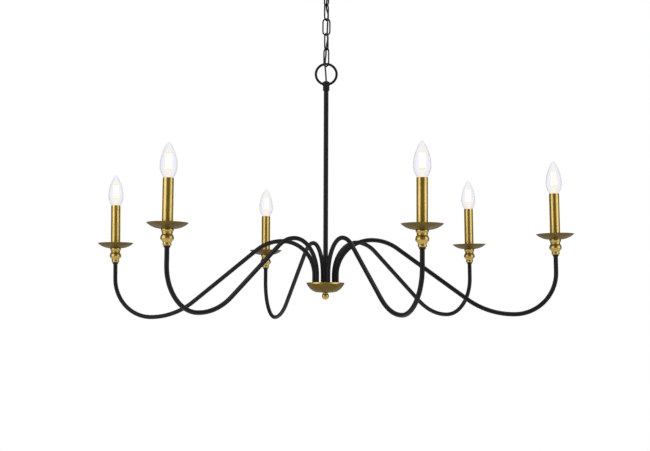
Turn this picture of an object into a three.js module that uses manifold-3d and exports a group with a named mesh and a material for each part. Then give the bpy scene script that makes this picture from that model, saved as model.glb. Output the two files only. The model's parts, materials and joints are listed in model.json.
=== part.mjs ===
// A six-arm candle chandelier on a chain: bent tube arms around a hub, each with a turned cup,
// a drip dish, a candle sleeve, a lamp holder and a lamp, hung from a ceiling canopy.
// Units are millimetres, +Z is up, and the origin is the centre of the ceiling bracket's top face.
import * as THREE from "three";
import { mergeVertices } from "three/addons/utils/BufferGeometryUtils.js";
import Module from "manifold-3d";

const wasm = await Module();
wasm.setup();

// ---- Driving dimensions ----------------------------------------------------------------------

const gap = 0.3; // clearance between neighbouring pieces

// Heights, measured from the rim of the hub dish
const canopyHeight = 30; // ceiling to the canopy's flat centre
const stemLength = 430.4; // visible and hidden length of the centre stem

// Hub
const plateThickness = 4;
const plateRadius = 33;
const rootCircle = 25.2; // arm roots stand on a ring of this radius
const firstRootAngle = 13.3; // degrees, from the front towards the right
const stemRadius = 5.2;
const stemWall = 1.2;
const rodRadius = 3;
const rodWall = 0.8;
const hubDishRadius = 41;
const hubDishDepth = 18.8;
const hubLip = 3.5;
const dishWall = 1;
const finialRadius = 7.7;
const finialNeckRadius = 6.2;

// Arms: a bent tube, given as a bending schedule from the hub outwards
const armRadius = 4.7;
const armWall = 1.2;
const shoulderBend = 75.2; // radius of the first quarter turn, out of the hub
const crestBend = 94.9; // radius over the crest
const slopeAngle = 37.1; // degrees that the straight falls
const slopeLength = 184.7;
const bellyBend = 166.6; // radius of the gentle bend under the slope
const cupBend = 87.7; // radius of the last quarter turn, up to the cup
const rootStraight = 25.9;
const cupStraight = 35.7; // upright tube below the cup
const spigotLength = 9; // upright tube inside the cup
const ferruleHeight = 3.5;
const ferruleRadius = 7.4;

// Each arm's heading, and how far its end stands above the drawn curve, both in degrees
const armSettings = [
  { heading: 21.5, lift: 0 },
  { heading: 80.8, lift: 1.05 },
  { heading: 135, lift: 1.5 },
  { heading: 197.9, lift: 0.1 },
  { heading: 254.4, lift: -0.4 },
  { heading: 323, lift: 0.75 },
];

// Candle: heights are measured up from the arm's shoulder
const cupHeight = 32.2;
const cupWellRadius = 7.4;
const cupWellDepth = 15;
const dishRadius = 40;
const dishDepth = 11.2;
const dishSeatRadius = 11.6; // flat centre of the drip dish
const sleeveRadius = 10.65;
const sleeveWall = 0.8;
const sleeveLength = 95.4;
const capRadius = 5.95; // E12 lamp cap
const capHeight = 21;
const holderStemRadius = 3.2;
const holderShellHeight = 22;
const holderWall = 1.6;
const holderRecess = 7.5; // holder's rim below the sleeve's top
const bulbHeight = 75.7; // glass only, from the lamp cap
const bulbRadius = 17.3;
const bulbWall = 0.9;

// Chain and hanging ring
const linkWire = 3.2;
const linkWidth = 18.5;
const linkInside = 33;
const endLinkInside = 37;
const ringRadius = 22.65; // to the middle of its wire
const ringWire = 5.5;
const collarRadius = 7.4;
const collarHeight = 9;
const bossHeight = 21.4; // collar's foot to the top of the boss in the ring
const bailRadius = 10.75;
const bailWire = 4.5;

// Turn of each link's plane about the chain, in degrees, from the top down
const linkTurns = { link_top: 35, link_5: 125, link_4: 58, link_3: -8, link_2: 62, link_end: 132 };

// Canopy
const canopyRadius = 63.5;
const canopyWall = 1;
const loopBodyRadius = 13.3;
const loopBodyHeight = 20;
const collarRingRadius = 19;
const collarRingHeight = 6;
const nippleRadius = 4.9;
const nippleWall = 1.3;
const bracketLength = 104;
const bracketWidth = 22;
const bracketThickness = 2.5;
const bracketSlotLength = 14;
const bracketSlotWidth = 4.6;
const bracketSlotCentre = 38;

// Supply cable
const cableRadius = 1.8;

// Facets
const roundSides = 10;
const wideSides = 16;
const canopySides = 24;
const tubeSides = 8;
const boreSides = 6;
const armBendStep = 18; // degrees of bend in one facet
const linkBendStep = 30;
const ringSteps = 20;
const cableSteps = 52;

// ---- Heights that follow ---------------------------------------------------------------------

const plateTop = -2;
const plateBottom = plateTop - plateThickness;
const armFoot = plateTop - 5;
const stemFoot = plateTop + gap;
const stemTop = stemFoot + stemLength;
const collarFoot = stemTop - (collarHeight - 2.3);
const ringCentre = collarFoot + collarHeight + gap + ringRadius + ringWire / 2 + 1.6;
const ringSeat = ringCentre + ringRadius - ringWire / 2 - 3 * gap;

// The chain hangs from the bail, so the heights run upwards from the ring
const linkSeats = chainSeats();
const bailSeat = linkSeats.link_top + linkInside - gap;
const bailCentre = bailSeat + bailRadius - bailWire / 2;
const loopBodyFoot = bailCentre + bailRadius - 1.2;
const loopBodyTop = loopBodyFoot + loopBodyHeight;
const canopyFace = loopBodyFoot + collarRingHeight + 4;
const ceiling = canopyFace + canopyHeight;
const hubDishTop = 2.5;
const hubDishBottom = -hubDishDepth;

// ---- Geometry helpers ------------------------------------------------------------------------

const radians = THREE.MathUtils.degToRad;

// The radius of a polygon whose flats clear a round piece of the given radius.
function holeRadius(radius, sides) {
  return (radius + gap) / Math.cos(Math.PI / sides);
}

// A turned piece about Z from an outline of [radius, height] points.
function turned(outline, sides) {
  const points = outline.map(([r, z]) => new THREE.Vector2(r, z));
  const onAxis = points[0].x === 0 && points[points.length - 1].x === 0;
  if (!onAxis) points.push(points[0].clone());
  return new THREE.LatheGeometry(points, sides).rotateX(Math.PI / 2);
}

// Points [radius, height] on an arc, both ends included.
function arc(centreR, centreZ, radius, fromAngle, toAngle, steps) {
  const points = [];
  for (let i = 0; i <= steps; i += 1) {
    const angle = radians(fromAngle + ((toAngle - fromAngle) * i) / steps);
    points.push([centreR + radius * Math.cos(angle), centreZ + radius * Math.sin(angle)]);
  }
  return points;
}

function circleShape(radius, sides) {
  const points = [];
  for (let i = 0; i < sides; i += 1) {
    const angle = (2 * Math.PI * i) / sides;
    points.push(new THREE.Vector2(radius * Math.cos(angle), radius * Math.sin(angle)));
  }
  return new THREE.Shape(points);
}

function toSolid(geometry) {
  const plain = geometry.index ? geometry.toNonIndexed() : geometry.clone();
  const bare = new THREE.BufferGeometry();
  bare.setAttribute("position", plain.getAttribute("position"));
  const merged = mergeVertices(bare, 1e-3);
  return new wasm.Manifold(
    new wasm.Mesh({
      numProp: 3,
      vertProperties: merged.attributes.position.array,
      triVerts: new Uint32Array(merged.index.array),
    }),
  );
}

function toGeometry(solid) {
  const mesh = solid.getMesh();
  const geometry = new THREE.BufferGeometry();
  geometry.setAttribute("position", new THREE.BufferAttribute(mesh.vertProperties, 3));
  geometry.setIndex(new THREE.BufferAttribute(mesh.triVerts, 1));
  return geometry;
}

function joined(...geometries) {
  return toGeometry(geometries.map(toSolid).reduce((whole, next) => whole.add(next)));
}

function cut(geometry, ...tools) {
  return toGeometry(tools.map(toSolid).reduce((rest, tool) => rest.subtract(tool), toSolid(geometry)));
}

function upright(radius, height, sides) {
  return new THREE.CylinderGeometry(radius, radius, height, sides).rotateX(Math.PI / 2);
}

// ---- Bent wire and tube ----------------------------------------------------------------------

// A flat path in XZ, stored as stations: each leg is a straight run or a bend of so many degrees.
class BentPath extends THREE.Curve {
  constructor(x, z, bendStep, legs) {
    super();
    this.stations = [{ x, z, heading: 90 }];
    for (const { run, radius, turn } of legs) {
      if (run) this.addRun(run);
      else this.addBend(radius, turn, Math.ceil(Math.abs(turn) / bendStep));
    }
    this.steps = this.stations.length - 1;
  }
  addRun(run) {
    const { x, z, heading } = this.stations[this.stations.length - 1];
    const angle = radians(heading);
    this.stations.push({ x: x + run * Math.cos(angle), z: z + run * Math.sin(angle), heading });
  }
  addBend(radius, turn, count) {
    const start = this.stations[this.stations.length - 1];
    const side = 90 * Math.sign(turn);
    const toCentre = radians(start.heading + side);
    const centreX = start.x + radius * Math.cos(toCentre);
    const centreZ = start.z + radius * Math.sin(toCentre);
    for (let i = 1; i <= count; i += 1) {
      const heading = start.heading + (turn * i) / count;
      const spoke = radians(heading - side);
      const x = centreX + radius * Math.cos(spoke);
      const z = centreZ + radius * Math.sin(spoke);
      this.stations.push({ x, z, heading });
    }
  }
  station(u) {
    return this.stations[Math.round(u * this.steps)];
  }
  getPointAt(u, target = new THREE.Vector3()) {
    const { x, z } = this.station(u);
    return target.set(x, 0, z);
  }
  getSpacedPoints(divisions) {
    return Array.from({ length: divisions + 1 }, (_, i) => this.getPointAt(i / divisions));
  }
  getTangentAt(u, target = new THREE.Vector3()) {
    const angle = radians(this.station(u).heading);
    return target.set(Math.cos(angle), 0, Math.sin(angle));
  }
}

function swept(section, path) {
  return new THREE.ExtrudeGeometry(section, { steps: path.steps, extrudePath: path });
}

// A round wire along a path that closes on itself: the swept wall without its two end faces.
function closedWire(path, radius) {
  const wire = swept(circleShape(radius, tubeSides), path);
  const { start, count } = wire.groups.find((group) => group.materialIndex === 1);
  const wall = wire.getAttribute("position").array.slice(start * 3, (start + count) * 3);
  return new THREE.BufferGeometry().setAttribute("position", new THREE.BufferAttribute(wall, 3));
}

// ---- Arm ------------------------------------------------------------------------------------

// From the hub: up, over the crest, down the slope, through the belly and up into the cup.
function armPath(lift) {
  return new BentPath(0, armFoot, armBendStep, [
    { run: rootStraight },
    { radius: shoulderBend, turn: -90 },
    { radius: crestBend, turn: -(slopeAngle - lift) },
    { run: slopeLength },
    { radius: bellyBend, turn: slopeAngle },
    { radius: cupBend, turn: 90 },
    { run: cupStraight },
    { run: spigotLength },
  ]);
}

// Where the upright tube meets the cup: the station before the spigot.
function shoulderOf(path) {
  return path.stations[path.steps - 1];
}

function armGeometry(path) {
  const section = circleShape(armRadius, tubeSides);
  section.holes.push(circleShape(armRadius - armWall, boreSides));
  const innerRadius = armRadius - armWall / 2;
  const ferrule = turned(
    [
      [innerRadius, -ferruleHeight],
      [armRadius + 0.5, -ferruleHeight],
      [ferruleRadius, -0.6],
      [ferruleRadius, 0],
      [innerRadius, 0],
    ],
    roundSides,
  );
  const { x, z, heading } = shoulderOf(path);
  ferrule.rotateY(radians(90 - heading)).translate(x, 0, z);
  return joined(swept(section, path), ferrule);
}

// ---- Candle pieces, standing on the arm's shoulder at height 0 -------------------------------

const cupTop = cupHeight + gap;
const dishFloor = cupTop + gap;

// Height of the drip dish's underside above its floor at a given radius.
function dishRise(radius) {
  const reach = dishRadius - dishSeatRadius;
  const curve = (reach * reach + dishDepth * dishDepth) / (2 * dishDepth);
  const out = Math.max(0, radius - dishSeatRadius);
  return curve - Math.sqrt(curve * curve - out * out);
}

const sleeveFoot = dishFloor + dishWall + gap;
const sleeveTop = sleeveFoot + sleeveLength;
const holderTop = sleeveTop - holderRecess;
const holderFloor = holderTop - holderShellHeight;
const capFoot = holderFloor + holderWall + gap;
const capTop = capFoot + capHeight;
const bulbFoot = capTop + gap;

// Turned cup: a foot bead, a wide bead above a cone, a waist and a lip, given as shares of its height.
function cupGeometry() {
  const bore = holeRadius(armRadius, roundSides);
  const outside = [
    [7.3, 0],
    [8.5, 0.07],
    [8.4, 0.19],
    [9.3, 0.26],
    [12.3, 0.37],
    [13, 0.45],
    [12.9, 0.53],
    [11.9, 0.62],
    [10.5, 0.69],
    [10.4, 0.8],
    [12.3, 0.92],
    [12.3, 1],
  ].map(([r, share]) => [r, gap + cupHeight * share]);
  return turned(
    [
      [bore, gap],
      ...outside,
      [cupWellRadius, cupTop],
      [cupWellRadius, cupTop - cupWellDepth],
      [bore, cupTop - cupWellDepth],
    ],
    roundSides,
  );
}

function dripDishGeometry() {
  const hole = holeRadius(holderStemRadius, roundSides);
  const radii = [0, 1 / 3, 2 / 3, 1].map((share) => dishSeatRadius + (dishRadius - dishSeatRadius) * share);
  const under = radii.map((r) => [r, dishFloor + dishRise(r)]);
  const over = under.map(([r, z]) => [r === dishRadius ? r - dishWall : r, z + dishWall]);
  return turned([[hole, dishFloor], ...under, ...over.reverse(), [hole, dishFloor + dishWall]], wideSides);
}

function sleeveGeometry() {
  const inside = sleeveRadius - sleeveWall;
  return turned(
    [
      [inside, sleeveFoot],
      [sleeveRadius, sleeveFoot],
      [sleeveRadius, sleeveTop],
      [inside, sleeveTop],
    ],
    roundSides,
  );
}

// Lamp holder: a stem through the drip dish, a foot that clamps the dish, and the shell that takes the cap.
function holderGeometry() {
  const shellInside = holeRadius(capRadius, roundSides);
  const foot = sleeveFoot;
  return turned(
    [
      [0, cupTop - cupWellDepth + 4],
      [holderStemRadius, cupTop - cupWellDepth + 4],
      [holderStemRadius, foot],
      [7, foot],
      [7, foot + 2.4],
      [holderStemRadius, foot + 2.4],
      [holderStemRadius, holderFloor],
      [shellInside + holderWall, holderFloor],
      [shellInside + holderWall, holderTop],
      [shellInside, holderTop],
      [shellInside, holderFloor + holderWall],
      [0, holderFloor + holderWall],
    ],
    roundSides,
  );
}

// Lamp cap: contact button, threaded shell, and a plug in the neck of the glass.
function capGeometry() {
  const plug = capRadius - bulbWall - gap;
  return turned(
    [
      [0, capFoot],
      [2.2, capFoot],
      [capRadius, capFoot + 4],
      [capRadius, capTop],
      [plug, capTop],
      [plug, capTop + 2],
      [0, capTop + 2],
    ],
    roundSides,
  );
}

// The torpedo lamp's glass: [radius, height] points from the neck to the tip, drawn in by an inset.
function bulbOutline(inset) {
  const curve = new THREE.SplineCurve([
    new THREE.Vector2(capRadius, 0),
    new THREE.Vector2(bulbRadius * 0.55, bulbHeight * 0.1),
    new THREE.Vector2(bulbRadius * 0.98, bulbHeight * 0.34),
    new THREE.Vector2(bulbRadius * 0.97, bulbHeight * 0.48),
    new THREE.Vector2(bulbRadius * 0.55, bulbHeight * 0.87),
    new THREE.Vector2(0, bulbHeight),
  ]);
  const points = curve.getPoints(7).map(({ x, y }) => [Math.max(0, x - inset), bulbFoot + y]);
  points[points.length - 1][1] -= inset;
  return points;
}

function bulbGeometry() {
  return turned([...bulbOutline(0), ...bulbOutline(bulbWall).reverse()], roundSides);
}

// ---- Hub ------------------------------------------------------------------------------------

function rootPlace(index) {
  const angle = radians(firstRootAngle + (360 / armSettings.length) * index);
  return new THREE.Vector3(rootCircle * Math.sin(angle), -rootCircle * Math.cos(angle), 0);
}

function hubPlateGeometry() {
  const middle = plateTop - plateThickness / 2;
  const plate = upright(plateRadius, plateThickness, wideSides).translate(0, 0, middle);
  const holes = armSettings.map((_, index) => {
    const { x, y } = rootPlace(index);
    return upright(holeRadius(armRadius, roundSides), plateThickness * 2, roundSides).translate(x, y, middle);
  });
  const rodHole = upright(holeRadius(rodRadius, roundSides), plateThickness * 2, roundSides);
  return cut(plate, rodHole.translate(0, 0, middle), ...holes);
}

function tubeGeometry(outside, wall, foot, top) {
  return turned(
    [
      [outside - wall, foot],
      [outside, foot],
      [outside, top],
      [outside - wall, top],
    ],
    roundSides,
  );
}

function hubDishGeometry() {
  const hole = holeRadius(rodRadius, roundSides);
  const lipFoot = hubDishTop - hubLip;
  const drop = lipFoot - hubDishBottom;
  const profile = [
    [6.5, 0],
    [15.8, 0.02],
    [23.4, 0.1],
    [30.9, 0.35],
    [35.2, 0.6],
    [38.4, 0.85],
    [hubDishRadius - 0.6, 1],
  ];
  const under = profile.map(([r, share]) => [r, hubDishBottom + drop * share]);
  const over = profile.map(([r, share]) => [r - dishWall * share, hubDishBottom + dishWall + drop * share]);
  return turned(
    [
      [hole, hubDishBottom],
      ...under,
      [hubDishRadius, lipFoot],
      [hubDishRadius, hubDishTop],
      [hubDishRadius - dishWall - 0.6, hubDishTop],
      ...over.reverse(),
      [hole, hubDishBottom + dishWall],
    ],
    wideSides,
  );
}

const finialTop = hubDishBottom - gap;
const finialCentre = finialTop - 2.4 - finialRadius * 0.63;
const rodFoot = finialCentre + 0.5;
const rodTop = plateTop + 16;

function finialGeometry() {
  const bore = holeRadius(rodRadius, roundSides);
  const ball = arc(0, finialCentre, finialRadius, -90, 38, 8);
  ball[0][0] = 0;
  return turned(
    [
      ...ball,
      [finialNeckRadius, finialTop - 2],
      [finialNeckRadius, finialTop],
      [bore, finialTop],
      [bore, rodFoot - gap],
      [0, rodFoot - gap],
    ],
    roundSides,
  );
}

// ---- Hanging ring and chain ------------------------------------------------------------------

function ringGeometry(radius, wire) {
  return new THREE.TorusGeometry(radius, wire / 2, tubeSides, ringSteps).rotateX(Math.PI / 2);
}

// Ring with a boss and a collar that grips the stem, drilled for the cable.
function stemLoopGeometry() {
  const bossTop = collarFoot + bossHeight;
  const collarTop = collarFoot + collarHeight;
  const ringBottom = ringCentre - ringRadius;
  const body = turned(
    [
      [0, collarFoot],
      [collarRadius, collarFoot],
      [collarRadius, collarTop],
      [6.6, collarTop + 0.8],
      [8.8, ringBottom - 0.5],
      [8.6, ringBottom + 2.6],
      [6, bossTop - 1],
      [3.4, bossTop],
      [0, bossTop],
    ],
    roundSides,
  );
  const ring = ringGeometry(ringRadius, ringWire).translate(0, 0, ringCentre);
  const socketDepth = stemTop + gap - collarFoot;
  const socket = upright(holeRadius(stemRadius, roundSides), 2 * socketDepth, roundSides);
  const drilling = upright(holeRadius(cableRadius + gap, roundSides), 80, roundSides);
  return cut(joined(body, ring), socket.translate(0, 0, collarFoot), drilling.translate(0, 0, bossTop - 20));
}

// Height of each link's lower inner face, from the ring upwards.
function chainSeats() {
  const seats = {};
  let seat = ringSeat;
  for (const name of Object.keys(linkTurns).reverse()) {
    seats[name] = seat;
    seat += (name === "link_end" ? endLinkInside : linkInside) - gap;
  }
  return seats;
}

function linkGeometry(name) {
  const inside = name === "link_end" ? endLinkInside : linkInside;
  const bend = (linkWidth - linkWire) / 2;
  const side = inside + linkWire - 2 * bend;
  const path = new BentPath(bend, -side / 2, linkBendStep, [
    { run: side },
    { radius: bend, turn: 180 },
    { run: side },
    { radius: bend, turn: 180 },
  ]);
  const wire = closedWire(path, linkWire / 2);
  return wire.rotateZ(radians(linkTurns[name])).translate(0, 0, linkSeats[name] + inside / 2);
}

// ---- Canopy and its fixings ------------------------------------------------------------------

function canopyGeometry() {
  const hole = holeRadius(loopBodyRadius, canopySides);
  const rise = canopyHeight;
  const outer = [
    [24, 0],
    [42, 8],
    [54, 18],
    [57.5, rise - 5],
    [canopyRadius, rise - 4],
    [canopyRadius, rise],
  ];
  const inner = [
    [canopyRadius - canopyWall, rise],
    [canopyRadius - canopyWall, rise - 3],
    [56.5, rise - 4],
    [53, 19],
    [41.5, 9.2],
    [23.8, canopyWall],
  ];
  const outline = [[hole, 0], ...outer, ...inner, [hole, canopyWall]];
  return turned(
    outline.map(([r, z]) => [r, canopyFace + z]),
    canopySides,
  );
}

function collarRingGeometry() {
  const top = canopyFace - gap;
  const foot = top - collarRingHeight;
  const hole = holeRadius(loopBodyRadius, wideSides);
  return turned(
    [
      [hole, foot],
      [collarRingRadius - 2.5, foot],
      [collarRingRadius, foot + 2],
      [collarRingRadius, top - 1],
      [collarRingRadius - 1, top],
      [hole, top],
    ],
    wideSides,
  );
}

function canopyLoopGeometry() {
  const bore = holeRadius(nippleRadius, roundSides);
  const body = turned(
    [
      [0, loopBodyFoot - 1],
      [loopBodyRadius - 5, loopBodyFoot - 1],
      [loopBodyRadius, loopBodyFoot + 2],
      [loopBodyRadius, loopBodyTop],
      [0, loopBodyTop],
    ],
    wideSides,
  );
  const bail = ringGeometry(bailRadius, bailWire);
  bail.rotateZ(radians(linkTurns.link_top + 90)).translate(0, 0, bailCentre);
  const boreDepth = loopBodyHeight - 7;
  const socket = upright(bore, 2 * boreDepth, roundSides).translate(0, 0, loopBodyTop);
  const drilling = upright(holeRadius(cableRadius + 1.6, roundSides), 2 * loopBodyHeight, roundSides);
  return cut(joined(body, bail), socket, drilling.translate(0, 0, loopBodyFoot + loopBodyHeight / 2));
}

function bracketGeometry() {
  const middle = ceiling - bracketThickness / 2;
  const bar = new THREE.BoxGeometry(bracketLength, bracketWidth, bracketThickness).translate(0, 0, middle);
  const hole = upright(holeRadius(nippleRadius, roundSides), bracketThickness * 2, roundSides);
  const slots = [-1, 1].map((side) =>
    new THREE.BoxGeometry(bracketSlotLength, bracketSlotWidth, bracketThickness * 2).translate(
      side * bracketSlotCentre,
      0,
      middle,
    ),
  );
  return cut(bar, hole.translate(0, 0, middle), ...slots);
}

// ---- Supply cable ----------------------------------------------------------------------------

// The cable's route from the canopy, woven through the links and the ring, into the stem: [x, y, height].
const cableRoute = [
  [0, 0, ceiling - 8],
  [0, 0, loopBodyFoot + 8],
  [0.4, -0.1, loopBodyFoot - 2],
  [6.5, -1.1, bailSeat],
  [1.5, 1.2, linkSeats.link_top + 16],
  [1, 5.9, linkSeats.link_top],
  [1, 6.6, linkSeats.link_5 + 16],
  [-0.2, 7.1, linkSeats.link_5],
  [0.4, 4.3, linkSeats.link_5 - 9],
  [3.4, -1.2, linkSeats.link_4 + 12.5],
  [3.1, -4.9, linkSeats.link_4],
  [2.2, -4.6, linkSeats.link_3 + 16],
  [2, -4.9, linkSeats.link_3],
  [2.9, -2.6, linkSeats.link_2 + 22],
  [0.8, 3.2, linkSeats.link_2 + 11],
  [-0.8, 7, linkSeats.link_2],
  [-0.7, 3.8, linkSeats.link_2 - 10.5],
  [-2.1, -2.6, linkSeats.link_end + 13.5],
  [-2.6, -5.5, ringSeat + 2],
  [-2, -3.5, ringCentre + 11],
  [-1, -0.8, ringCentre],
  [0, 0, ringCentre - ringRadius + 6],
  [0, 0, stemTop - 20],
];

function cableGeometry() {
  const path = new THREE.CatmullRomCurve3(
    cableRoute.map(([x, y, z]) => new THREE.Vector3(x, y, z)),
    false,
    "centripetal",
  );
  return new THREE.ExtrudeGeometry(circleShape(cableRadius, tubeSides), {
    steps: cableSteps,
    extrudePath: path,
  });
}

// ---- Materials and assembly ------------------------------------------------------------------

const finishes = {
  black: { color: 0x1b1b1d, roughness: 0.55, metalness: 0.3 },
  brass: { color: 0xa8842c, roughness: 0.32, metalness: 1 },
  steel: { color: 0x8d9094, roughness: 0.4, metalness: 1 },
  phenolic: { color: 0x2a2522, roughness: 0.6, metalness: 0 },
  glass: { color: 0xeef0f6, roughness: 0.05, metalness: 0, transparent: true, opacity: 0.35 },
  cable: { color: 0x121212, roughness: 0.7, metalness: 0 },
};

function piece(name, geometry, finish) {
  const mesh = new THREE.Mesh(geometry, new THREE.MeshStandardMaterial(finishes[finish]));
  mesh.name = name;
  return mesh;
}

function candle(number) {
  const group = new THREE.Group();
  group.add(
    piece(`cup_${number}`, cupGeometry(), "brass"),
    piece(`drip_dish_${number}`, dripDishGeometry(), "brass"),
    piece(`sleeve_${number}`, sleeveGeometry(), "brass"),
    piece(`lamp_holder_${number}`, holderGeometry(), "phenolic"),
    piece(`lamp_cap_${number}`, capGeometry(), "steel"),
    piece(`lamp_glass_${number}`, bulbGeometry(), "glass"),
  );
  return group;
}

function arm(index) {
  const number = index + 1;
  const { heading, lift } = armSettings[index];
  const path = armPath(lift);
  const shoulder = shoulderOf(path);
  const top = candle(number);
  top.position.set(shoulder.x, 0, shoulder.z);
  top.rotation.y = radians(90 - shoulder.heading);
  const group = new THREE.Group();
  group.add(piece(`arm_${number}`, armGeometry(path), "black"), top);
  group.position.copy(rootPlace(index));
  group.rotation.z = radians(heading - 90);
  return group;
}

const chandelier = new THREE.Group();
chandelier.name = "chandelier";
chandelier.position.z = -ceiling;
chandelier.add(
  piece("ceiling_bracket", bracketGeometry(), "steel"),
  piece("nipple", tubeGeometry(nippleRadius, nippleWall, loopBodyTop - 8, ceiling - 0.5), "steel"),
  piece("canopy", canopyGeometry(), "black"),
  piece("collar_ring", collarRingGeometry(), "black"),
  piece("canopy_loop", canopyLoopGeometry(), "black"),
  ...Object.keys(linkTurns).map((name) => piece(name, linkGeometry(name), "black")),
  piece("supply_cable", cableGeometry(), "cable"),
  piece("stem_loop", stemLoopGeometry(), "black"),
  piece("stem", tubeGeometry(stemRadius, stemWall, stemFoot, stemTop), "black"),
  piece("hub_plate", hubPlateGeometry(), "steel"),
  piece("centre_rod", tubeGeometry(rodRadius, rodWall, rodFoot, rodTop), "steel"),
  piece("hub_dish", hubDishGeometry(), "brass"),
  piece("finial", finialGeometry(), "brass"),
  ...armSettings.map((_, index) => arm(index)),
);

export default chandelier;
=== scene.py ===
"""A six-arm candle chandelier: detailed pieces, finishes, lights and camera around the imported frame."""

import json
import math

import bmesh
import bpy
from mathutils import Matrix, Vector


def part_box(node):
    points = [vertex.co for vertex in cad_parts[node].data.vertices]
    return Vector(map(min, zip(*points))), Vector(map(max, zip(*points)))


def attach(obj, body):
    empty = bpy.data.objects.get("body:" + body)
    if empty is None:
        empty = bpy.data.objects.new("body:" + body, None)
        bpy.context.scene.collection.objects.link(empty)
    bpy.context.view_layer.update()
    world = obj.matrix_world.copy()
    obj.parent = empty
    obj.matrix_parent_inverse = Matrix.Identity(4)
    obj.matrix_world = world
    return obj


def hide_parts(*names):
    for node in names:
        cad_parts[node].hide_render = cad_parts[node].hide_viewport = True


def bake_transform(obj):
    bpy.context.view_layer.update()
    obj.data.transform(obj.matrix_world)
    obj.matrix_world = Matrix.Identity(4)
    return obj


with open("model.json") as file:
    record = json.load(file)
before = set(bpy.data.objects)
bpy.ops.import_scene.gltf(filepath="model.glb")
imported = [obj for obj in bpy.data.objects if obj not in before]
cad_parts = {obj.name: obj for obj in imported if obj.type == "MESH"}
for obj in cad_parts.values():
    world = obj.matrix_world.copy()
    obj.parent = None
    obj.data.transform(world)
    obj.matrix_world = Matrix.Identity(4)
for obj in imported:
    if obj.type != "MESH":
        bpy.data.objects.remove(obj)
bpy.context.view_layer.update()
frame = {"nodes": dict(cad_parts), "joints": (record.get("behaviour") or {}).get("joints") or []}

MM = 0.001
JOINTS = {joint["name"]: joint for joint in frame["joints"]}
ARM_COUNT = 6

# ---- Sizes, in millimetres unless a name says otherwise ---------------------------------------

ARM_RADIUS = 4.7
ARM_FOOT = -5.0  # arm's lower end, below the hub plate's top
SLOPE_ANGLE = 37.1  # degrees that an arm's straight stretch falls
# From the hub outwards: a run has a length, a bend has a radius and a turn in degrees
ARM_LEGS = [("run", 25.9), ("bend", 75.2, -90), ("bend", 94.9, "slope"), ("run", 184.7),
            ("bend", 166.6, SLOPE_ANGLE), ("bend", 87.7, 90), ("run", 35.7), ("run", 9.0)]
HUB_PLATE_TOP = -2.0  # below the rim of the hub dish

LINK_WIRE = 3.2
LINK_WIDTH = 18.5
# Turn of each link's plane about the chain, in degrees, from the top down
LINK_TURNS = {"link_top": 35, "link_5": 125, "link_4": 58, "link_3": -8, "link_2": 62, "link_end": 132}

CABLE_RADIUS = 1.8


# ---- Where things are --------------------------------------------------------------------------

def middle(node):
    low, high = (Vector(corner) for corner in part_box(node))
    return (low + high) / 2


def low_z(node):
    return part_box(node)[0][2]


def high_z(node):
    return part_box(node)[1][2]


RIM_Z = high_z("hub_plate") - HUB_PLATE_TOP * MM  # height 0 for the hub and the arms


class ArmPlace:
    """Where one arm stands: its root, its heading and how far its candle leans."""

    def __init__(self, number):
        self.root = Vector(JOINTS[f"arm_{number}_swivel"]["pos_m"])
        cup = middle(f"cup_{number}")
        out = Vector((cup.x - self.root.x, cup.y - self.root.y, 0))
        self.turn = math.atan2(out.y, out.x)
        axis = Vector(JOINTS[f"bulb_{number}_pull"]["axis"])
        self.lift = math.degrees(-math.asin(axis.dot(out.normalized())))
        stations = bend_stations(self.legs(), 0, HUB_PLATE_TOP + ARM_FOOT)
        x, z, heading = stations[-2]
        foot = Matrix.Translation((self.root.x, self.root.y, RIM_Z))
        self.frame = foot @ Matrix.Rotation(self.turn, 4, "Z")
        lean = Matrix.Rotation(math.radians(90 - heading), 4, "Y")
        self.candle = self.frame @ Matrix.Translation((x * MM, 0, z * MM)) @ lean

    def legs(self):
        return [(*leg[:2], self.lift - SLOPE_ANGLE) if leg[-1] == "slope" else leg for leg in ARM_LEGS]


def bend_stations(legs, x, z):
    """The end of every leg of a bending schedule that starts upwards: x, z and heading in degrees."""
    heading = 90.0
    stations = [(x, z, heading)]
    for leg in legs:
        if leg[0] == "run":
            x += leg[1] * math.cos(math.radians(heading))
            z += leg[1] * math.sin(math.radians(heading))
        else:
            centre_x, centre_z = bend_centre(x, z, heading, leg)
            heading += leg[2]
            spoke = math.radians(heading - math.copysign(90, leg[2]))
            x = centre_x + leg[1] * math.cos(spoke)
            z = centre_z + leg[1] * math.sin(spoke)
        stations.append((x, z, heading))
    return stations


def bend_centre(x, z, heading, leg):
    """The point that a bend turns about, square to the heading on the side it turns to."""
    spoke = math.radians(heading + math.copysign(90, leg[2]))
    return x + leg[1] * math.cos(spoke), z + leg[1] * math.sin(spoke)


# ---- Camera ------------------------------------------------------------------------------------

LENS = 76.9
SENSOR_WIDTH = 36
CAMERA_PLACE = Vector((-0.0019, -3.006, RIM_Z - 0.0923))
CAMERA_PITCH = 4.167  # degrees above the horizon
CAMERA_YAW = -0.008
CAMERA_ROLL = 0.215


def add_camera():
    data = bpy.data.cameras.new("camera")
    data.lens = LENS
    data.sensor_width = SENSOR_WIDTH
    camera = bpy.data.objects.new("camera", data)
    bpy.context.collection.objects.link(camera)
    turn = Matrix.Rotation(math.radians(CAMERA_YAW), 4, "Z")
    pitch = Matrix.Rotation(math.radians(90 + CAMERA_PITCH), 4, "X")
    roll = Matrix.Rotation(math.radians(CAMERA_ROLL), 4, "Z")
    camera.matrix_world = Matrix.Translation(CAMERA_PLACE) @ turn @ pitch @ roll
    bpy.context.scene.camera = camera


add_camera()


# ---- Finishes ----------------------------------------------------------------------------------

def new_material(name):
    material = bpy.data.materials.new(name)
    material.use_nodes = True
    nodes = material.node_tree.nodes
    return material, nodes, material.node_tree.links, nodes["Principled BSDF"]


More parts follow.
